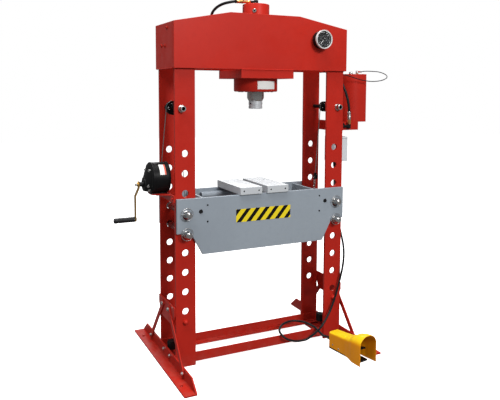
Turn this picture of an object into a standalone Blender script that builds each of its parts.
"""Hydraulic shop press with a winch-lifted bed, a side-mounted pump and a foot pedal.

Metres, +Z up, floor at z = 0. Every piece is laid out in the press's own frame, whose origin is on the
floor midway between the four uprights: +X to the right, +Y to the rear. One empty carries them all and
puts the middle of the whole outline over the world's origin.
"""

import math

import bmesh
import bpy
from mathutils import Vector

# ---- driving dimensions -------------------------------------------------------------------------
OUTLINE_SHIFT = (0.0167, 0.0413, 0.0)  # press frame to world
GAP = 0.0003  # between pieces that touch

# uprights: four flat plates with a row of pin holes
UPRIGHT_X = 0.4375
UPRIGHT_W = 0.105
UPRIGHT_INNER_Y = 0.116
UPRIGHT_T = 0.014
UPRIGHT_OUTER_Y = UPRIGHT_INNER_Y + UPRIGHT_T
UPRIGHT_TOP = 1.700
UPRIGHT_EDGE_X = UPRIGHT_X + UPRIGHT_W / 2
HOLE_PITCH = 0.100
HOLE_FIRST_Z = 0.288
HOLE_COUNT = 9
HOLE_R = 0.018
SIDE_X = UPRIGHT_EDGE_X + GAP  # inner face of what bolts to the uprights' outer edges
SIDE_T = 0.008

# head
HEAD_Y = UPRIGHT_OUTER_Y + GAP
HEAD_T = 0.017
HEAD_X = 0.4985
HEAD_BOTTOM = 1.507
HEAD_END_TOP = 1.733
HEAD_TOP = 1.789
HEAD_FLAT_X = 0.200

# cylinder and ram, a little right of the frame's centre
CYL_X = 0.012
BLOCK_HALF_X = 0.152
BLOCK_BOTTOM = 1.462
BARREL_R = 0.072
BORE_R = 0.056
BARREL_TOP = 1.856
COLLAR_R = 0.1175
COLLAR_BOTTOM = 1.393
RAM_R = 0.0455
RAM_BOTTOM = 1.3445
RAM_TOP = 1.800
PISTON_H = 0.038
RAM_FOOT_R = 0.037
RAM_TAPER_H = 0.0155  # the rod narrows to the foot over this height
RAM_FOOT_BOTTOM = 1.302
ELBOW_Z = 1.868

# bed
BED_Y = UPRIGHT_OUTER_Y + 0.0033
BED_T = 0.015
BED_OUTER_Y = BED_Y + BED_T
BED_X = 0.488
BED_TOP = 0.864
BED_SHOULDER = 0.691
BED_BOTTOM = 0.576
BED_BOTTOM_X = 0.353
BED_SHOULDER_X = 0.415  # inner end of the level stretch that sits on a lower pin
UPPER_PIN_Z = HOLE_FIRST_Z + 5 * HOLE_PITCH
LOWER_PIN_Z = HOLE_FIRST_Z + 4 * HOLE_PITCH
BED_LIFT = 0.012  # how far the bed can rise with all four pins in
SPACER_X = 0.330
SPACER_T = 0.012
SPACER_BOTTOM = 0.705
SPACER_TOP = 0.855
PIPE_Z = 0.829
PIPE_R = 0.018
PIPE_HALF_X = 0.260  # the pipe runs along the inside of the rear plate

# locking pins
PIN_R = 0.016
PIN_FRONT = -0.192
PIN_REAR = 0.180
PIN_COLLAR_R = 0.019
PIN_COLLAR_T = 0.005

# arbor plates
ARBOR_X = -0.0085
ARBOR_GAP = 0.031
ARBOR_W = 0.125
ARBOR_FRONT = -0.160
ARBOR_REAR = 0.152
ARBOR_T = 0.038

# feet, gussets, braces and ties
FOOT_HALF_Y = 0.430
FOOT_OUTER_X = 0.554
FOOT_FLANGE_H = 0.060
FOOT_FLANGE_T = 0.008
FLOOR_BOLT_Y = 0.325
FLOOR_BOLT_X = 0.530
FLOOR_BOLT_R = 0.008
FOOT_TAB_X = 0.395  # inner end of the tab under the uprights
GUSSET_TOP = 0.311
GUSSET_HALF_Y = 0.128
BRACE_TOP = (0.0495, 0.284)
BRACE_FOOT = (0.262, 0.034)
BRACE_W = 0.028
BRACE_T = 0.006
TIE_BOTTOM = 0.012
TIE_H = 0.050
TIE_W = 0.045
TIE_T = 0.006

# winch
SHELF_TOP = 0.881
SHELF_T = 0.005
SHELF_OUTER_X = 0.582
SHELF_HALF_Y = (0.034, 0.090)  # at its outer end and at the uprights
SHELF_APRON_H = 0.035
DRUM_Z = 0.960
HOUSING_R = 0.0785
HOUSING_WALL = 0.004
HOUSING_LEFT = -0.586
HOUSING_RIGHT = -0.4935
DRUM_R = 0.043
CRANK_Z = 0.929
CRANK_R = 0.175
CRANK_HUB_R = 0.031
CRANK_HUB_OUTER_X = -0.615
CRANK_SHAFT_R = 0.0115
CRANK_SHAFT_OUTER_X = -0.657
CRANK_TIP_R = 0.006
CRANK_ARM_X = -0.656
CRANK_ARM_TOP_X = -0.6375  # the arm steps outwards between these two heights
CRANK_STEP_Z = (0.912, 0.872)
CRANK_ARM_W = 0.022
CRANK_ARM_T = 0.006
DRUM_FLANGE_R = 0.066
DRUM_FLANGE_T = 0.003
SPINDLE_R = 0.0045
GRIP_R = 0.0135
GRIP_INNER_X = -0.6605
GRIP_OUTER_X = -0.765

# rope, pulleys and sheaves
ROPE_Y = 0.005
ROPE_R = 0.0022
AXLE_X = 0.455
AXLE_Z = 1.310
AXLE_R = 0.010
AXLE_HOLE_R = 0.0108
AXLE_WASHER_R = 0.018
AXLE_HEAD_R = 0.0145
AXLE_HEAD_H = 0.0295
PULLEY_R = 0.036
ANCHOR_R = 0.029
SHEAVE_X = 0.366
SHEAVE_Z = 0.795
SHEAVE_R = 0.026
SHEAVE_SHAFT_R = 0.011
ROPE_WHEEL_W = 0.026
GROOVE_DEPTH = 0.005
ROPE_SEAT = ROPE_R + GAP  # rope centre above the groove's floor

# gauge
GAUGE_X = 0.3206
GAUGE_Z = 1.671
GAUGE_R = 0.050
GAUGE_FRONT = -0.200
NEEDLE_LENGTH = 0.034
NEEDLE_REST = math.radians(40)  # from straight down towards the left

# pump
TANK_X = (0.600, 0.7316)
TANK_Y = (-0.020, 0.160)
TANK_Z = (1.219, 1.4975)
TANK_CORNER_R = 0.035
TANK_FRONT_R = 0.080  # the corner next to the uprights
TANK_PORT_Z = 1.512
TANK_EDGE_R = 0.006
TANK_PORT = (0.696, 0.030)
TANK_BREATHER = (0.652, 0.030)
BASE_X = 0.675
BASE_REAR = 0.125
BASE_BOTTOM = 1.1725
STRAP_HALF_Y = 0.126
STRAP_T = 0.006
STRAP_Z = (1.178, 1.229)
PUMP_ELBOW = (0.600, -0.036)
PUMP_ELBOW_Z = (1.181, 1.258)
PUMP_ELBOW_R = 0.010
BOX_SIZE = (0.090, 0.110, 0.142)
BOX_BOTTOM = 0.995

# hoses
PRESSURE_HOSE_R = 0.0075
AIR_LINE_R = 0.0025
PEDAL_HOSE_R = 0.006

# foot pedal: its own frame has +Y to the hose end and the origin under the hood's rear edge
PEDAL_PLACE = (0.3775, -0.245, 0.0)
PEDAL_TURN = math.radians(8)
PEDAL_LENGTH = 0.262
HOOD_WALL = 0.003
HOOD_HALF_W = 0.035
BASE_PLATE_T = 0.008
LEVER_HINGE = (-0.085, 0.030)  # y, z
LEVER_W = 0.054
GLAND_R = 0.009
GLAND_Z = 0.034

MATERIALS = {
    "red_paint": ((0.46, 0.028, 0.016), 0.38, 0.0),
    "bed_paint": ((0.30, 0.34, 0.38), 0.45, 0.0),
    "light_steel": ((0.62, 0.63, 0.64), 0.38, 0.7),
    "bright_steel": ((0.72, 0.72, 0.72), 0.22, 1.0),
    "black_paint": ((0.012, 0.012, 0.013), 0.40, 0.0),
    "zinc_brass": ((0.62, 0.46, 0.22), 0.35, 0.9),
    "black_rubber": ((0.015, 0.015, 0.015), 0.55, 0.0),
    "wire_rope": ((0.35, 0.34, 0.33), 0.45, 0.8),
    "pedal_plastic": ((0.82, 0.36, 0.03), 0.42, 0.0),
    "box_plastic": ((0.70, 0.73, 0.76), 0.45, 0.0),
    "white_paint": ((0.85, 0.85, 0.85), 0.40, 0.0),
}

# ---- scene, materials and collections -----------------------------------------------------------


def clear_scene():
    for obj in list(bpy.data.objects):
        bpy.data.objects.remove(obj, do_unlink=True)


def make_collection(name):
    collection = bpy.data.collections.new(name)
    bpy.context.scene.collection.children.link(collection)
    return collection


def make_material(name, colour, roughness, metallic):
    material = bpy.data.materials.new(name)
    material.use_nodes = True
    shader = material.node_tree.nodes["Principled BSDF"]
    shader.inputs["Base Color"].default_value = (*colour, 1.0)
    shader.inputs["Roughness"].default_value = roughness
    shader.inputs["Metallic"].default_value = metallic
    return material


clear_scene()
PARTS = make_collection("hydraulic_shop_press")
CUTTERS = make_collection("cutters")
PRESS = bpy.data.objects.new("press_frame", None)
PARTS.objects.link(PRESS)
PRESS.location = OUTLINE_SHIFT


def place(name, data, material, location=(0, 0, 0), rotation=(0, 0, 0), parent=None):
    """A new object for a sub-part, in a material of its own, under the press's empty."""
    obj = bpy.data.objects.new(name, data)
    data.materials.append(make_material(name + "_" + material, *MATERIALS[material]))
    PARTS.objects.link(obj)
    obj.parent = parent or PRESS
    obj.location = location
    obj.rotation_euler = rotation
    return obj


# ---- shapes -------------------------------------------------------------------------------------

FACING = {"x": (math.pi / 2, 0, math.pi / 2), "y": (math.pi / 2, 0, 0), "z": (0, 0, 0)}
ALONG = {"x": (0, math.pi / 2, 0), "y": (-math.pi / 2, 0, 0), "z": (0, 0, 0)}


def cube_mesh(name, size):
    bm = bmesh.new()
    bmesh.ops.create_cube(bm, size=1.0)
    bmesh.ops.scale(bm, vec=size, verts=bm.verts)
    mesh = bpy.data.meshes.new(name)
    bm.to_mesh(mesh)
    bm.free()
    return mesh


def box(name, low, high, material, parent=None):
    """A box between two corners; its origin is at its middle."""
    size = [h - l for l, h in zip(low, high)]
    middle = [(h + l) / 2 for l, h in zip(low, high)]
    return place(name, cube_mesh(name, size), material, middle, parent=parent)


def rod_mesh(name, radius, length, segments=24):
    bm = bmesh.new()
    bmesh.ops.create_cone(
        bm, cap_ends=True, segments=segments, radius1=radius, radius2=radius, depth=length
    )
    mesh = bpy.data.meshes.new(name)
    bm.to_mesh(mesh)
    bm.free()
    mesh.shade_smooth()
    mesh.set_sharp_from_angle(angle=math.radians(35))
    return mesh


def circle(x, y, radius, segments=16):
    """Corners of a round hole or disc, as a polygon."""
    turn = 2 * math.pi / segments
    return [
        (x + radius * math.cos(turn * (i + 0.5)), y + radius * math.sin(turn * (i + 0.5)))
        for i in range(segments)
    ]


def arc(x, y, radius, start, end, steps):
    """Points on an arc; the angles are in degrees."""
    return [
        (
            x + radius * math.cos(math.radians(start + (end - start) * i / steps)),
            y + radius * math.sin(math.radians(start + (end - start) * i / steps)),
        )
        for i in range(steps + 1)
    ]


def plate(name, outline, thickness, facing, at, material, holes=(), parent=None):
    """A flat outline with holes, of a thickness, facing along x, y or z and centred there."""
    curve = bpy.data.curves.new(name, "CURVE")
    curve.dimensions = "2D"
    curve.fill_mode = "BOTH"
    curve.extrude = thickness / 2
    for loop in (outline, *holes):
        spline = curve.splines.new("POLY")
        spline.points.add(len(loop) - 1)
        spline.use_cyclic_u = True
        for point, (x, y) in zip(spline.points, loop):
            point.co = (x, y, 0, 1)
    location = [0, 0, 0]
    location["xyz".index(facing)] = at
    return place(name, curve, material, location, FACING[facing], parent)


def turned(name, profile, along, location, material, steps=24, closed=False, parent=None):
    """A turned piece. The profile is (radius, place along the axis), down its outer side."""
    mesh = bpy.data.meshes.new(name)
    edges = [(i, i + 1) for i in range(len(profile) - 1)]
    if closed:
        edges.append((len(profile) - 1, 0))
    mesh.from_pydata([(r, 0, z) for r, z in profile], edges, [])
    obj = place(name, mesh, material, location, ALONG[along], parent)
    screw = obj.modifiers.new("turn", "SCREW")
    screw.steps = steps
    screw.render_steps = steps
    screw.use_merge_vertices = True
    screw.merge_threshold = 0.00001
    screw.use_smooth_shade = False
    return obj


def smooth_route(points, spacing):
    """Points at even steps along a smooth curve through the route's own points."""
    knots = [Vector(p) for p in points]
    knots = [2 * knots[0] - knots[1], *knots, 2 * knots[-1] - knots[-2]]
    fine = []
    for a, b, c, d in zip(knots, knots[1:], knots[2:], knots[3:]):
        for i in range(24):
            t = i / 24
            fine.append(
                0.5 * (2 * b + (c - a) * t + (2 * a - 5 * b + 4 * c - d) * t**2
                       + (3 * b - a - 3 * c + d) * t**3)
            )
    fine.append(knots[-2])
    total = sum((q - p).length for p, q in zip(fine, fine[1:]))
    count = max(2, round(total / spacing))
    route, travelled, target = [fine[0]], 0.0, total / count
    for p, q in zip(fine, fine[1:]):
        step = (q - p).length
        while travelled + step >= target and len(route) < count:
            route.append(p.lerp(q, (target - travelled) / step))
            target += total / count
        travelled += step
    return [*route, fine[-1]]


def tube(name, points, radius, material, spacing, resolution=2):
    """A hose or rope: a round tube with filled ends along a smooth route."""
    curve = bpy.data.curves.new(name, "CURVE")
    curve.dimensions = "3D"
    curve.bevel_depth = radius
    curve.bevel_resolution = resolution
    curve.use_fill_caps = True
    route = smooth_route(points, spacing) if spacing else [Vector(p) for p in points]
    spline = curve.splines.new("POLY")
    spline.points.add(len(route) - 1)
    for point, place_at in zip(spline.points, route):
        point.co = (*place_at, 1)
    return place(name, curve, material)


def as_mesh(obj):
    """The same piece as a mesh with its caps welded, so that it can be cut or joined."""
    graph = bpy.context.evaluated_depsgraph_get()
    graph.update()
    mesh = bpy.data.meshes.new_from_object(obj.evaluated_get(graph))
    bm = bmesh.new()
    bm.from_mesh(mesh)
    bmesh.ops.remove_doubles(bm, verts=bm.verts, dist=0.00001)
    bm.to_mesh(mesh)
    bm.free()
    name = obj.name
    old = obj.data
    solid = bpy.data.objects.new(name + "_mesh", mesh)
    PARTS.objects.link(solid)
    solid.parent = obj.parent
    solid.location = obj.location
    solid.rotation_euler = obj.rotation_euler
    bpy.data.objects.remove(obj)
    bpy.data.curves.remove(old)
    solid.name = name
    return solid


def combine(target, tool, operation):
    """Cut a tool from a piece, or join it to the piece, and put the tool with the cutters."""
    PARTS.objects.unlink(tool)
    CUTTERS.objects.link(tool)
    tool.hide_render = True
    tool.display_type = "WIRE"
    modifier = target.modifiers.new(operation.lower() + "_" + tool.name, "BOOLEAN")
    modifier.operation = operation
    modifier.solver = "EXACT"
    modifier.object = tool


def rod(name, radius, low, high, along, centre, material, segments=24, parent=None):
    """A plain round bar from low to high along an axis, through a centre."""
    location = list(centre)
    location["xyz".index(along)] = (low + high) / 2
    mesh = rod_mesh(name, radius, high - low, segments)
    return place(name, mesh, material, location, ALONG[along], parent)


def ring_profile(outer, inner, low, high, chamfer=0.0):
    """A ring's closed section, chamfered at the foot of its outer side."""
    return [
        (outer, high),
        (outer, low + chamfer),
        (outer - chamfer, low),
        (inner, low),
        (inner, high),
    ] if chamfer else [(outer, high), (outer, low), (inner, low), (inner, high)]


# ---- frame --------------------------------------------------------------------------------------


def make_uprights():
    for depth, y_sign in (("front", -1), ("rear", 1)):
        for side, x_sign in (("left", -1), ("right", 1)):
            x = x_sign * UPRIGHT_X
            outline = [
                (x - UPRIGHT_W / 2, 0),
                (x + UPRIGHT_W / 2, 0),
                (x + UPRIGHT_W / 2, UPRIGHT_TOP),
                (x - UPRIGHT_W / 2, UPRIGHT_TOP),
            ]
            holes = [circle(x, HOLE_FIRST_Z + HOLE_PITCH * i, HOLE_R) for i in range(HOLE_COUNT)]
            if depth == "front":
                holes.append(circle(x_sign * AXLE_X, AXLE_Z, AXLE_HOLE_R, 12))
            y = y_sign * (UPRIGHT_INNER_Y + UPRIGHT_T / 2)
            plate(f"upright_{depth}_{side}", outline, UPRIGHT_T, "y", y, "red_paint", holes)


def make_head():
    outline = [
        (-HEAD_X, HEAD_BOTTOM),
        (HEAD_X, HEAD_BOTTOM),
        (HEAD_X, HEAD_END_TOP),
        (HEAD_FLAT_X, HEAD_TOP),
        (-HEAD_FLAT_X, HEAD_TOP),
        (-HEAD_X, HEAD_END_TOP),
    ]
    for depth, sign in (("front", -1), ("rear", 1)):
        y = sign * (HEAD_Y + HEAD_T / 2)
        plate(f"head_{depth}_plate", outline, HEAD_T, "y", y, "red_paint")
    half_y = HEAD_Y - GAP
    for side, sign in (("left", -1), ("right", 1)):
        outer = HEAD_X if sign > 0 else -SIDE_X
        inner = SIDE_X if sign > 0 else -HEAD_X
        box(f"head_end_{side}", (inner, -half_y, HEAD_BOTTOM), (outer, half_y, HEAD_END_TOP),
            "red_paint")


def make_cylinder():
    half_y = HEAD_Y + HEAD_T
    outline = [
        (CYL_X - BLOCK_HALF_X, -half_y),
        (CYL_X + BLOCK_HALF_X, -half_y),
        (CYL_X + BLOCK_HALF_X, half_y),
        (CYL_X - BLOCK_HALF_X, half_y),
    ]
    thickness = HEAD_BOTTOM - GAP - BLOCK_BOTTOM
    middle = BLOCK_BOTTOM + thickness / 2
    hole = circle(CYL_X, 0, BARREL_R + 0.0008, 32)
    plate("cylinder_block", outline, thickness, "z", middle, "red_paint", [hole])
    barrel = [
        (0, BARREL_TOP),
        (BARREL_R - 0.006, BARREL_TOP),
        (BARREL_R, BARREL_TOP - 0.006),
        (BARREL_R, BLOCK_BOTTOM + GAP),
        (BORE_R, BLOCK_BOTTOM + GAP),
        (BORE_R, RAM_TOP + 0.020),
        (0, RAM_TOP + 0.020),
    ]
    turned("cylinder_barrel", barrel, "z", (CYL_X, 0, 0), "red_paint", 32)
    collar = ring_profile(COLLAR_R, RAM_R + 0.0006, COLLAR_BOTTOM, BLOCK_BOTTOM - GAP, 0.008)
    turned("cylinder_collar", collar, "z", (CYL_X, 0, 0), "red_paint", 32, closed=True)
    ram = [
        (0, RAM_TOP),
        (BORE_R - 0.0008, RAM_TOP),
        (BORE_R - 0.0008, RAM_TOP - PISTON_H),
        (RAM_R, RAM_TOP - PISTON_H),
        (RAM_R, RAM_BOTTOM + RAM_TAPER_H),
        (RAM_FOOT_R + 0.001, RAM_BOTTOM),
        (0, RAM_BOTTOM),
    ]
    turned("ram_rod", ram, "z", (CYL_X, 0, 0), "bright_steel", 32)
    foot = [
        (0, RAM_BOTTOM - GAP),
        (RAM_FOOT_R, RAM_BOTTOM - GAP),
        (RAM_FOOT_R, RAM_FOOT_BOTTOM + 0.003),
        (RAM_FOOT_R - 0.003, RAM_FOOT_BOTTOM),
        (0, RAM_FOOT_BOTTOM),
    ]
    turned("ram_foot", foot, "z", (CYL_X, 0, 0), "light_steel", 32)
    elbow = rod("cylinder_elbow", 0.013, BARREL_TOP + GAP, ELBOW_Z + 0.013, "z", (CYL_X, 0, 0),
                "black_paint", 16)
    branch = rod("elbow_branch", 0.0095, CYL_X - 0.074, CYL_X, "x", (0, 0, ELBOW_Z),
                 "black_paint", 16)
    combine(elbow, branch, "UNION")


def make_feet():
    for side, sign in (("left", -1), ("right", 1)):
        x = sign * (SIDE_X + FOOT_FLANGE_T / 2)
        flange = [
            (-FOOT_HALF_Y, 0),
            (FOOT_HALF_Y, 0),
            (FOOT_HALF_Y, 0.010),
            (FOOT_HALF_Y - 0.062, FOOT_FLANGE_H),
            (0.062 - FOOT_HALF_Y, FOOT_FLANGE_H),
            (-FOOT_HALF_Y, 0.010),
        ]
        foot = as_mesh(plate(f"foot_{side}", flange, FOOT_FLANGE_T, "x", x, "red_paint"))
        near, far = sorted((sign * (SIDE_X + 0.002), sign * FOOT_OUTER_X))
        sole = [(near, -FOOT_HALF_Y), (far, -FOOT_HALF_Y), (far, FOOT_HALF_Y), (near, FOOT_HALF_Y)]
        holes = [
            circle(sign * FLOOR_BOLT_X, y, FLOOR_BOLT_R, 12) for y in (-FLOOR_BOLT_Y, FLOOR_BOLT_Y)
        ]
        sheet = plate(f"foot_sole_{side}", sole, FOOT_FLANGE_T, "z", FOOT_FLANGE_T / 2,
                      "red_paint", holes)
        combine(foot, as_mesh(sheet), "UNION")
        near, far = sorted((sign * FOOT_TAB_X, sign * (SIDE_X + 0.003)))
        half_y = UPRIGHT_INNER_Y - 2 * GAP
        tab = box(f"foot_tab_{side}", (near, -half_y, 0), (far, half_y, FOOT_FLANGE_T - 0.001),
                  "red_paint")
        combine(foot, tab, "UNION")


def make_gussets_and_braces():
    outline = [
        (-GUSSET_HALF_Y, GUSSET_TOP),
        (-GUSSET_HALF_Y, 0.270),
        (-0.095, 0.212),
        (0.095, 0.212),
        (GUSSET_HALF_Y, 0.270),
        (GUSSET_HALF_Y, GUSSET_TOP),
    ]
    top, foot = Vector(BRACE_TOP), Vector(BRACE_FOOT)
    run = (foot - top).normalized()
    edge = Vector((-run.y, run.x)) * BRACE_W / 2
    top, foot = top - run * BRACE_W / 2, foot + run * BRACE_W * 0.3
    bar = [top - edge, foot - edge, foot + edge, top + edge]
    for side, sign in (("left", -1), ("right", 1)):
        x = sign * (SIDE_X + SIDE_T / 2)
        plate(f"gusset_{side}", outline, SIDE_T, "x", x, "red_paint")
        x = sign * (SIDE_X + SIDE_T + GAP + BRACE_T / 2)
        for depth, y_sign in (("front", -1), ("rear", 1)):
            corners = [(y_sign * y, z) for y, z in bar]
            plate(f"brace_{depth}_{side}", corners, BRACE_T, "x", x, "red_paint")


def make_ties():
    half_x = UPRIGHT_EDGE_X - 0.002
    for depth, sign in (("front", -1), ("rear", 1)):
        outer = sign * (UPRIGHT_INNER_Y - GAP)
        inner = outer - sign * TIE_T
        lip = outer - sign * TIE_W
        low, high = sorted((outer, inner))
        tie = box(f"tie_{depth}", (-half_x, low, TIE_BOTTOM), (half_x, high, TIE_BOTTOM + TIE_H),
                  "red_paint")
        low, high = sorted((outer - sign * 0.002, lip))
        flange = box(f"tie_flange_{depth}", (-half_x, low, TIE_BOTTOM),
                     (half_x, high, TIE_BOTTOM + TIE_T), "red_paint")
        combine(tie, flange, "UNION")


# ---- bed ----------------------------------------------------------------------------------------


def make_bed():
    notch_r = PIN_R + 0.0006
    rise = BED_SHOULDER - LOWER_PIN_Z
    start = math.degrees(math.asin(rise / notch_r))
    left_notch = arc(-UPRIGHT_X, LOWER_PIN_Z, notch_r, 180 - start, start, 8)
    right_notch = arc(UPRIGHT_X, LOWER_PIN_Z, notch_r, 180 - start, start, 8)
    outline = [
        (-BED_X, BED_TOP),
        (-BED_X, BED_SHOULDER),
        *left_notch,
        (-BED_SHOULDER_X, BED_SHOULDER),
        (-BED_BOTTOM_X, BED_BOTTOM),
        (BED_BOTTOM_X, BED_BOTTOM),
        (BED_SHOULDER_X, BED_SHOULDER),
        *right_notch,
        (BED_X, BED_SHOULDER),
        (BED_X, BED_TOP),
    ]
    holes = []
    for sign in (-1, 1):
        slot_top = arc(sign * UPRIGHT_X, UPPER_PIN_Z, HOLE_R, 0, 180, 8)
        slot_foot = arc(sign * UPRIGHT_X, UPPER_PIN_Z - BED_LIFT, HOLE_R, 180, 360, 8)
        holes.append(slot_top + slot_foot)
    for depth, sign in (("front", -1), ("rear", 1)):
        y = sign * (BED_Y + BED_T / 2)
        plate(f"bed_{depth}_plate", outline, BED_T, "y", y, "bed_paint", holes)
    half_y = BED_Y - GAP
    for side, sign in (("left", -1), ("right", 1)):
        face = [
            (-half_y, SPACER_BOTTOM),
            (half_y, SPACER_BOTTOM),
            (half_y, SPACER_TOP),
            (-half_y, SPACER_TOP),
        ]
        rope_hole = circle(ROPE_Y, SHEAVE_Z - SHEAVE_R + GROOVE_DEPTH - ROPE_SEAT, 0.010, 12)
        plate(f"bed_spacer_{side}", face, SPACER_T, "x", sign * SPACER_X, "bed_paint", [rope_hole])
    pipe = ring_profile(PIPE_R, PIPE_R - 0.003, -PIPE_HALF_X, PIPE_HALF_X)
    centre = (0, half_y - PIPE_R, PIPE_Z)
    turned("bed_pipe", pipe, "x", centre, "bed_paint", 20, closed=True)


def make_pins():
    collar_rear = -BED_OUTER_Y - GAP
    profile = [
        (0, PIN_REAR),
        (PIN_R - 0.004, PIN_REAR),
        (PIN_R, PIN_REAR - 0.006),
        (PIN_R, collar_rear),
        (PIN_COLLAR_R, collar_rear),
        (PIN_COLLAR_R, collar_rear - PIN_COLLAR_T),
        (PIN_R, collar_rear - PIN_COLLAR_T),
        (PIN_R, PIN_FRONT + 0.004),
        (PIN_R - 0.004, PIN_FRONT),
        (0, PIN_FRONT),
    ]
    for level, z in (("upper", UPPER_PIN_Z), ("lower", LOWER_PIN_Z)):
        for side, sign in (("left", -1), ("right", 1)):
            turned(f"pin_{level}_{side}", profile, "y", (sign * UPRIGHT_X, 0, z), "bright_steel",
                   20)


def make_arbor_plates():
    bottom = BED_TOP + GAP
    for side, sign in (("left", -1), ("right", 1)):
        near, far = sorted(
            (ARBOR_X + sign * ARBOR_GAP / 2, ARBOR_X + sign * (ARBOR_GAP / 2 + ARBOR_W))
        )
        box(f"arbor_plate_{side}", (near, ARBOR_FRONT, bottom), (far, ARBOR_REAR, bottom + ARBOR_T),
            "light_steel")


# ---- winch and rope -----------------------------------------------------------------------------


def make_winch():
    inner = -SIDE_X
    narrow, wide = SHELF_HALF_Y
    outline = [(-SHELF_OUTER_X, -narrow), (inner, -wide), (inner, wide), (-SHELF_OUTER_X, narrow)]
    shelf = as_mesh(plate("winch_shelf", outline, SHELF_T, "z", SHELF_TOP - SHELF_T / 2,
                          "red_paint"))
    apron = box("shelf_apron", (inner - SIDE_T, -UPRIGHT_OUTER_Y, SHELF_TOP - SHELF_APRON_H),
                (inner, UPRIGHT_OUTER_Y, SHELF_TOP - 0.001), "red_paint")
    combine(shelf, apron, "UNION")
    profile = [
        (HOUSING_R, HOUSING_RIGHT),
        (HOUSING_R, HOUSING_LEFT + 0.006),
        (HOUSING_R - 0.006, HOUSING_LEFT),
        (0, HOUSING_LEFT),
        (0, HOUSING_LEFT + HOUSING_WALL),
        (HOUSING_R - HOUSING_WALL, HOUSING_LEFT + HOUSING_WALL),
        (HOUSING_R - HOUSING_WALL, HOUSING_RIGHT),
    ]
    housing = turned("winch_housing", profile, "x", (0, 0, DRUM_Z), "black_paint", 32, closed=True)
    slot = box("rope_slot", (-0.520, 0.034, DRUM_Z + 0.050), (-0.4900, 0.060, DRUM_Z + 0.090),
               "black_paint")
    combine(housing, slot, "DIFFERENCE")
    shaft_hole = rod("crank_hole", CRANK_SHAFT_R + 0.001, HOUSING_LEFT - 0.010, HOUSING_LEFT + 0.012, "x",
                     (0, 0, CRANK_Z), "black_paint", 24)
    combine(housing, shaft_hole, "DIFFERENCE")
    right = HOUSING_RIGHT - 0.002
    left = HOUSING_LEFT + HOUSING_WALL + 0.004
    drum = [
        (0, right),
        (DRUM_FLANGE_R, right),
        (DRUM_FLANGE_R, right - DRUM_FLANGE_T),
        (DRUM_R, right - DRUM_FLANGE_T),
        (DRUM_R, left + DRUM_FLANGE_T),
        (DRUM_FLANGE_R, left + DRUM_FLANGE_T),
        (DRUM_FLANGE_R, left),
        (0, left),
    ]
    turned("winch_drum", drum, "x", (0, 0, DRUM_Z), "light_steel", 24)


def make_crank():
    """Shaft, hub, flat arm and grip spindle in one; its origin is on the shaft's axis."""
    axis = (0, 0, CRANK_Z)
    hub = [
        (0, HOUSING_LEFT - GAP),
        (CRANK_HUB_R, HOUSING_LEFT - GAP),
        (CRANK_HUB_R, CRANK_HUB_OUTER_X + 0.006),
        (CRANK_HUB_R - 0.007, CRANK_HUB_OUTER_X),
        (CRANK_SHAFT_R, CRANK_HUB_OUTER_X),
        (CRANK_SHAFT_R, CRANK_ARM_TOP_X),
        (CRANK_TIP_R, CRANK_ARM_TOP_X),
        (CRANK_TIP_R, CRANK_SHAFT_OUTER_X),
        (0, CRANK_SHAFT_OUTER_X),
    ]
    crank = turned("crank", hub, "x", axis, "zinc_brass", 24)
    journal = rod("crank_journal", CRANK_SHAFT_R, HOUSING_LEFT - 0.002,
                  HOUSING_LEFT + HOUSING_WALL, "x", axis, "zinc_brass", 24)
    half_t = CRANK_ARM_T / 2
    upper, lower = CRANK_STEP_Z
    line = [
        (CRANK_ARM_TOP_X, CRANK_Z + 0.016),
        (CRANK_ARM_TOP_X, upper),
        (CRANK_ARM_X, lower),
        (CRANK_ARM_X, CRANK_Z - CRANK_R - CRANK_ARM_W / 2),
    ]
    outline = [(x - half_t, z) for x, z in line] + [(x + half_t, z) for x, z in reversed(line)]
    arm = as_mesh(plate("crank_bar", outline, CRANK_ARM_W, "y", 0, "zinc_brass"))
    spindle = rod("grip_spindle", SPINDLE_R, GRIP_OUTER_X + 0.006, CRANK_ARM_X, "x",
                  (0, 0, CRANK_Z - CRANK_R), "zinc_brass", 16)
    for piece in (journal, arm, spindle):
        combine(crank, piece, "UNION")
    bore = SPINDLE_R + 0.0007
    grip = [
        (bore, GRIP_INNER_X),
        (GRIP_R - 0.002, GRIP_INNER_X),
        (GRIP_R, GRIP_INNER_X - 0.004),
        (GRIP_R - 0.001, (GRIP_INNER_X + GRIP_OUTER_X) / 2),
        (GRIP_R, GRIP_OUTER_X + 0.006),
        (GRIP_R - 0.003, GRIP_OUTER_X),
        (0, GRIP_OUTER_X),
        (0, GRIP_OUTER_X + 0.005),
        (bore, GRIP_OUTER_X + 0.005),
    ]
    turned("crank_grip", grip, "x", (0, 0, CRANK_Z - CRANK_R), "black_rubber", 20, closed=True)


def grooved(radius, width, bore, floor_half=0.003):
    """A rope wheel's section: flanges of a radius around a groove; bore 0 for a solid wheel."""
    half = width / 2
    rim = [
        (radius, half),
        (radius, floor_half + 0.002),
        (radius - GROOVE_DEPTH, floor_half),
        (radius - GROOVE_DEPTH, -floor_half),
        (radius, -floor_half - 0.002),
        (radius, -half),
    ]
    return [(bore, half), *rim, (bore, -half)]


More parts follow.
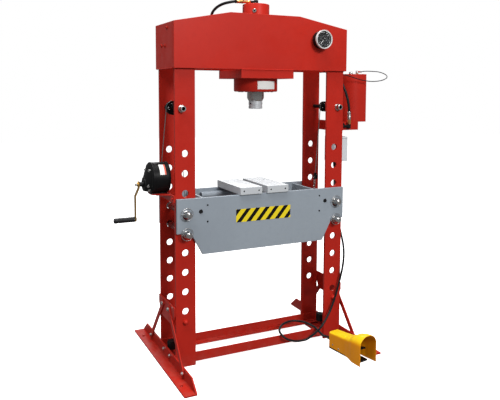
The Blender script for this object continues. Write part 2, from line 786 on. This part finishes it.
def make_pulleys():
    front = -UPRIGHT_OUTER_Y - GAP
    rear = UPRIGHT_INNER_Y - GAP
    axle = [
        (0, rear),
        (AXLE_R, rear),
        (AXLE_R, front),
        (AXLE_WASHER_R, front),
        (AXLE_WASHER_R, front - 0.003),
        (AXLE_HEAD_R, front - 0.003),
        (AXLE_HEAD_R, front - AXLE_HEAD_H),
        (0, front - AXLE_HEAD_H),
    ]
    for side, sign in (("left", -1), ("right", 1)):
        turned(f"pulley_axle_{side}", axle, "y", (sign * AXLE_X, 0, AXLE_Z), "bright_steel", 20)
    bore = AXLE_R + 0.0006
    turned("pulley_left", grooved(PULLEY_R, ROPE_WHEEL_W, bore), "y", (-AXLE_X, ROPE_Y, AXLE_Z),
           "black_paint", 24, closed=True)
    turned("rope_anchor_right", grooved(ANCHOR_R, ROPE_WHEEL_W, bore), "y",
           (AXLE_X, ROPE_Y, AXLE_Z), "black_paint", 24, closed=True)
    half_y = BED_Y - GAP
    rim = grooved(SHEAVE_R, ROPE_WHEEL_W - 0.004, SHEAVE_SHAFT_R)
    sheave = [
        (0, half_y),
        (SHEAVE_SHAFT_R, half_y),
        *rim,
        (SHEAVE_SHAFT_R, -half_y),
        (0, -half_y),
    ]
    sheave = [(r, a + (ROPE_Y if abs(a) < half_y else 0)) for r, a in sheave]
    for side, sign in (("left", -1), ("right", 1)):
        turned(f"bed_sheave_{side}", sheave, "y", (sign * SHEAVE_X, 0, SHEAVE_Z), "bright_steel",
               20)


def rope_arc(x, z, radius, start, end, steps=6):
    return [(px, ROPE_Y, pz) for px, pz in arc(x, z, radius, start, end, steps)]


def make_ropes():
    over = PULLEY_R - GROOVE_DEPTH + ROPE_SEAT + 0.0004
    winch = [(-0.5095, DRUM_R + ROPE_SEAT, DRUM_Z + 0.004)]
    winch += rope_arc(-AXLE_X, AXLE_Z, over, 178, 4, 10)
    tube("winch_rope", winch, ROPE_R, "wire_rope", 0)
    under = SHEAVE_R - GROOVE_DEPTH + ROPE_SEAT + 0.0004
    anchor = ANCHOR_R - GROOVE_DEPTH + ROPE_SEAT + 0.0004
    right_sheave = rope_arc(SHEAVE_X, SHEAVE_Z, under, 270, 366)
    left_sheave = rope_arc(-SHEAVE_X, SHEAVE_Z, under, 174, 270)
    bed = [(-AXLE_X + over, ROPE_Y, AXLE_Z - 0.004)]
    bed += left_sheave + right_sheave
    bed += rope_arc(AXLE_X, AXLE_Z, anchor, 186, 150, 2)
    tube("bed_rope", bed, ROPE_R, "wire_rope", 0)


# ---- gauge --------------------------------------------------------------------------------------


def make_gauge():
    back = -HEAD_Y - HEAD_T - GAP
    case = [
        (0, back),
        (GAUGE_R, back),
        (GAUGE_R, GAUGE_FRONT),
        (GAUGE_R - 0.005, GAUGE_FRONT),
        (GAUGE_R - 0.005, GAUGE_FRONT + 0.010),
        (0, GAUGE_FRONT + 0.010),
    ]
    turned("gauge_case", case, "y", (GAUGE_X, 0, GAUGE_Z), "black_paint", 32)
    y = GAUGE_FRONT + 0.007
    blade = [(-0.0022, 0.008), (0.0022, 0.008), (0.0006, -NEEDLE_LENGTH), (-0.0006, -NEEDLE_LENGTH)]
    needle = plate("gauge_needle", blade, 0.0016, "y", 0, "white_paint")
    needle.location = (GAUGE_X, y, GAUGE_Z)
    needle.rotation_euler = (math.pi / 2, NEEDLE_REST, 0)


# ---- pump, control box and hoses ----------------------------------------------------------------


def make_pump():
    (x0, x1), (y0, y1), (z0, z1) = TANK_X, TANK_Y, TANK_Z
    r = TANK_CORNER_R
    outline = (
        arc(x1 - r, y1 - r, r, 0, 90, 5)
        + arc(x0 + r, y1 - r, r, 90, 180, 5)
        + arc(x0 + TANK_FRONT_R, y0 + TANK_FRONT_R, TANK_FRONT_R, 180, 270, 10)
        + arc(x1 - TANK_EDGE_R, y0 + TANK_EDGE_R, TANK_EDGE_R, 270, 360, 2)
    )
    tank = as_mesh(plate("pump_tank", outline, z1 - z0, "z", (z0 + z1) / 2, "red_paint"))
    breather = rod("tank_breather", 0.010, z1 - 0.002, z1 + 0.012, "z", (*TANK_BREATHER, 0),
                   "black_paint", 12)
    port_x, port_y = TANK_PORT
    port = rod("tank_port", 0.007, z1 - 0.002, TANK_PORT_Z + 0.006, "z", (*TANK_PORT, 0),
               "black_paint", 12)
    branch = rod("tank_port_branch", 0.0045, port_x, port_x + 0.016, "x",
                 (0, port_y, TANK_PORT_Z), "black_paint", 12)
    for piece in (breather, port, branch):
        combine(tank, piece, "UNION")
    base = box("pump_base", (SIDE_X, y0, BASE_BOTTOM), (BASE_X, BASE_REAR, z0 - GAP), "red_paint")
    strap = box("pump_strap", (SIDE_X, -STRAP_HALF_Y, STRAP_Z[0]),
                (SIDE_X + STRAP_T, STRAP_HALF_Y, STRAP_Z[1]), "red_paint")
    combine(base, strap, "UNION")
    elbow_x, elbow_y = PUMP_ELBOW
    low, high = PUMP_ELBOW_Z
    elbow = rod("pump_elbow", PUMP_ELBOW_R, low, high, "z", (elbow_x, elbow_y, 0), "black_paint",
                16)
    stub = rod("pump_elbow_stub", PUMP_ELBOW_R - 0.001, elbow_y, y0 - GAP, "y",
               (elbow_x, 0, low + 0.011), "black_paint", 16)
    combine(elbow, stub, "UNION")
    width, depth, height = BOX_SIZE
    box("control_box", (SIDE_X, -depth / 2, BOX_BOTTOM),
        (SIDE_X + width, depth / 2, BOX_BOTTOM + height), "box_plastic")


def make_hoses():
    pressure = [
        (0.600, -0.036, 1.2585),
        (0.599, -0.034, 1.300),
        (0.590, -0.028, 1.360),
        (0.573, -0.016, 1.420),
        (0.553, 0.005, 1.475),
        (0.535, 0.040, 1.530),
        (0.526, 0.090, 1.580),
        (0.518, 0.140, 1.620),
        (0.490, 0.172, 1.650),
        (0.430, 0.178, 1.672),
        (0.330, 0.176, 1.690),
        (0.200, 0.172, 1.700),
        (0.080, 0.172, 1.700),
        (-0.030, 0.174, 1.700),
        (-0.110, 0.176, 1.712),
        (-0.158, 0.176, 1.745),
        (-0.176, 0.168, 1.785),
        (-0.182, 0.142, 1.817),
        (-0.176, 0.100, 1.840),
        (-0.160, 0.055, 1.855),
        (-0.132, 0.020, 1.863),
        (-0.098, 0.001, 1.868),
        (-0.080, 0.000, ELBOW_Z),
        (CYL_X - 0.0743, 0.000, ELBOW_Z),
    ]
    tube("pressure_hose", pressure, PRESSURE_HOSE_R, "black_rubber", 0.034)
    air = [
        (0.7125, 0.030, TANK_PORT_Z),
        (0.725, 0.030, TANK_PORT_Z + 0.001),
        (0.755, 0.026, 1.5165),
        (0.800, 0.016, 1.5160),
        (0.836, 0.003, 1.5125),
        (0.861, -0.014, 1.5020),
        (0.867, -0.034, 1.4885),
        (0.850, -0.048, 1.4735),
        (0.806, -0.054, 1.4600),
        (0.744, -0.055, 1.4550),
        (0.684, -0.054, 1.4600),
        (0.628, -0.050, 1.4725),
        (0.575, -0.042, 1.4880),
        (0.530, -0.034, 1.4945),
        (0.480, -0.030, 1.4960),
        (0.430, -0.032, 1.5060),
        (0.385, -0.045, 1.5350),
        (0.355, -0.065, 1.5800),
        (0.335, -0.090, 1.6300),
        (0.3235, -0.106, 1.6640),
        (GAUGE_X, -0.118, GAUGE_Z),
        (GAUGE_X, -HEAD_Y + 0.0006, GAUGE_Z),
    ]
    tube("gauge_line", air, AIR_LINE_R, "black_rubber", 0.018)


def pedal_point(y, z, x=0.0):
    """A point of the pedal's own frame in the press's frame."""
    c, s = math.cos(PEDAL_TURN), math.sin(PEDAL_TURN)
    return (PEDAL_PLACE[0] + c * x - s * y, PEDAL_PLACE[1] + s * x + c * y, z)


def make_pedal_hose():
    route = [
        (0.540, 0.020, BOX_BOTTOM - GAP),
        (0.540, 0.018, 0.955),
        (0.534, 0.008, 0.900),
        (0.522, -0.010, 0.830),
        (0.512, -0.035, 0.750),
        (0.508, -0.065, 0.670),
        (0.512, -0.098, 0.590),
        (0.512, -0.128, 0.510),
        (0.498, -0.147, 0.430),
        (0.474, -0.152, 0.340),
        (0.447, -0.151, 0.250),
        (0.4150, -0.155, 0.1800),
        (0.3761, -0.166, 0.1289),
        (0.3387, -0.172, 0.0893),
        (0.3086, -0.160, 0.0567),
        (0.2701, -0.140, 0.0225),
        (0.2369, -0.136, 0.0179),
        (0.2016, -0.136, 0.0216),
        (0.1630, -0.142, 0.0353),
        (0.1278, -0.148, 0.0555),
        (0.1133, -0.1278, 0.0715),
        (0.1238, -0.0867, 0.0735),
        (0.1549, -0.037, 0.0700),
        (0.2027, 0.0165, 0.0630),
        (0.2525, 0.0497, 0.0570),
        (0.2912, 0.0562, 0.0540),
        (0.3193, 0.0402, 0.0540),
        (0.3372, 0.0073, 0.0560),
        (0.3420, -0.0463, 0.0620),
        (0.3340, -0.1138, 0.0705),
        (0.3400, -0.142, 0.0600),
        (0.3460, -0.161, 0.0500),
        (0.3530, -0.180, 0.0415),
        pedal_point(0.054, 0.0385),
        pedal_point(0.035, 0.0345),
        pedal_point(0.0168, GLAND_Z),
    ]
    tube("pedal_hose", route, PEDAL_HOSE_R, "black_rubber", 0.030)


# ---- foot pedal ---------------------------------------------------------------------------------


def hood_section(width, height, shoulder, floor):
    """Half-arch outline of the hood across its length, from its left foot over to its right foot."""
    half = width / 2
    left = [(-half, floor), (-half, floor + (height - shoulder - floor) * 0.5),
            (-half, height - shoulder)]
    crown = [
        (-half + shoulder * (1 - math.cos(a)), height - shoulder + shoulder * math.sin(a))
        for a in (math.radians(22.5 * i) for i in (1, 2, 3, 4))
    ]
    side = left + crown
    return side + [(-x, z) for x, z in reversed(side)]


def make_pedal_hood(parent):
    stations = [
        (0.0, 0.070, 0.093, 0.012, 0.009),
        (-0.060, 0.071, 0.098, 0.014, 0.009),
        (-0.120, 0.075, 0.104, 0.018, 0.009),
        (-0.160, 0.090, 0.118, 0.028, 0.006),
        (-0.195, 0.108, 0.138, 0.040, 0.001),
        (-0.230, 0.114, 0.149, 0.048, 0.001),
        (-PEDAL_LENGTH, 0.116, 0.152, 0.052, 0.001),
    ]
    bm = bmesh.new()
    rows = []
    for y, width, height, shoulder, floor in stations:
        section = hood_section(width, height, shoulder, floor)
        rows.append([bm.verts.new((x, y, z)) for x, z in section])
    for near, far in zip(rows, rows[1:]):
        for a, b, c, d in zip(near, near[1:], far[1:], far):
            bm.faces.new((a, b, c, d))
    bmesh.ops.recalc_face_normals(bm, faces=bm.faces)
    mesh = bpy.data.meshes.new("pedal_hood")
    bm.to_mesh(mesh)
    bm.free()
    hood = place("pedal_hood", mesh, "pedal_plastic", parent=parent)
    shell = hood.modifiers.new("wall", "SOLIDIFY")
    shell.thickness = HOOD_WALL
    shell.offset = -1.0
    shell.use_even_offset = True


def make_pedal():
    pedal = bpy.data.objects.new("pedal_frame", None)
    PARTS.objects.link(pedal)
    pedal.parent = PRESS
    pedal.location = PEDAL_PLACE
    pedal.rotation_euler = (0, 0, PEDAL_TURN)
    make_pedal_hood(pedal)
    half = HOOD_HALF_W - HOOD_WALL - GAP
    hinge_y, hinge_z = LEVER_HINGE
    base = box("pedal_base", (-half, -0.225, 0), (half, 0.004, BASE_PLATE_T), "black_paint",
               pedal)
    body = box("pedal_valve", (-half + 0.001, -0.050, BASE_PLATE_T / 2),
               (half - 0.001, 0.002, 0.084), "black_paint", pedal)
    gland = rod("pedal_gland", GLAND_R, -0.004, 0.016, "y", (0, 0, GLAND_Z), "black_paint", 16,
                pedal)
    lug = box("pedal_lug", (-0.012, hinge_y - 0.008, BASE_PLATE_T / 2),
              (0.012, hinge_y + 0.008, hinge_z - 0.008), "black_paint", pedal)
    for piece in (body, gland, lug):
        combine(base, piece, "UNION")
    pivot = bpy.data.objects.new("pedal_pivot", None)
    PARTS.objects.link(pivot)
    pivot.parent = pedal
    pivot.location = (0, *LEVER_HINGE)
    tread = [(0.016, -0.003), (0.016, 0.005), (-0.125, 0.040), (-0.131, 0.038), (-0.131, 0.031),
             (-0.010, -0.005)]
    plate("pedal_lever", tread, LEVER_W, "x", 0, "black_rubber", parent=pivot)


# ---- build --------------------------------------------------------------------------------------


def main():
    make_uprights()
    make_head()
    make_cylinder()
    make_feet()
    make_gussets_and_braces()
    make_ties()
    make_bed()
    make_pins()
    make_arbor_plates()
    make_winch()
    make_crank()
    make_pulleys()
    make_ropes()
    make_gauge()
    make_pump()
    make_hoses()
    make_pedal_hose()
    make_pedal()


main()
